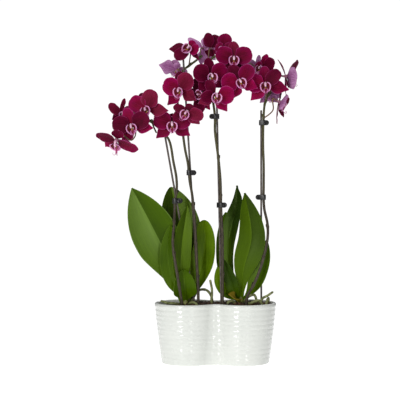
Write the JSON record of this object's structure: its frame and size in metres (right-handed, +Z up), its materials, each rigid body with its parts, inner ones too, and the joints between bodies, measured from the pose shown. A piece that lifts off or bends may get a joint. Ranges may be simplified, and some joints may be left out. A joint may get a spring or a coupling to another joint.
{
  "type": "potted orchid",
  "caption": "Burgundy moth orchids with arching sprays on stakes, broad leaves, bark mix and a glazed double pot.",
  "frame": {"origin": "middle of the pot's flat base", "axes": "+Z up out of the pot, +X along the pot's two lobes towards the right-hand plant, -Y towards the viewer"},
  "size_m": [0.3461, 0.1727, 0.5781],
  "materials": {
    "glaze": "glossy white glaze over shallow ridges",
    "bark": "rough damp bark chips",
    "leaf": "waxy green leaf with a soft sheen",
    "stem": "satin green-brown flower stem",
    "stake": "coated grey-brown stake",
    "clip": "black spring clip",
    "tepal": "velvety burgundy petal",
    "lip": "waxy lilac-pink lip"
  },
  "bodies": {
    "root": {"pot": "glaze", "bark_mix": "bark", "leaves_left": "leaf", "leaves_right": "leaf", "stake_1": "stake", "stake_2": "stake", "stake_3": "stake", "stake_4": "stake", "clip_1": "clip", "clip_2": "clip", "clip_3": "clip", "clip_4": "clip", "clip_5": "clip", "clip_6": "clip", "spray1_stem": "stem", "spray1_bloom1_tepals": "tepal", "spray1_bloom1_lip": "lip", "spray1_bloom2_tepals": "tepal", "spray1_bloom2_lip": "lip", "spray1_bloom3_tepals": "tepal", "spray1_bloom3_lip": "lip", "spray1_bloom4_tepals": "tepal", "spray1_bloom4_lip": "lip", "spray1_bloom5_tepals": "tepal", "spray1_bloom5_lip": "lip", "spray2_stem": "stem", "spray2_bloom1_tepals": "tepal", "spray2_bloom1_lip": "lip", "spray2_bloom2_tepals": "tepal", "spray2_bloom2_lip": "lip", "spray2_bloom3_tepals": "tepal", "spray2_bloom3_lip": "lip", "spray2_bloom4": "tepal", "spray2_bloom5_tepals": "tepal", "spray2_bloom5_lip": "lip", "spray2_bloom6": "tepal", "spray3_stem": "stem", "spray3_bloom1_tepals": "tepal", "spray3_bloom1_lip": "lip", "spray3_bloom2_tepals": "tepal", "spray3_bloom2_lip": "lip", "spray3_bloom3_tepals": "tepal", "spray3_bloom3_lip": "lip", "spray3_bloom4_tepals": "tepal", "spray3_bloom4_lip": "lip", "spray3_bloom5_tepals": "tepal", "spray3_bloom5_lip": "lip", "spray3_bloom6_tepals": "tepal", "spray3_bloom6_lip": "lip", "spray3_bloom7": "tepal", "spray4_stem": "stem", "spray4_bloom1_tepals": "tepal", "spray4_bloom1_lip": "lip", "spray4_bloom2_tepals": "tepal", "spray4_bloom2_lip": "lip", "spray4_bloom3_tepals": "tepal", "spray4_bloom3_lip": "lip", "spray4_bloom4_tepals": "tepal", "spray4_bloom4_lip": "lip", "spray4_bloom5": "tepal"}
  },
  "joints": []
}
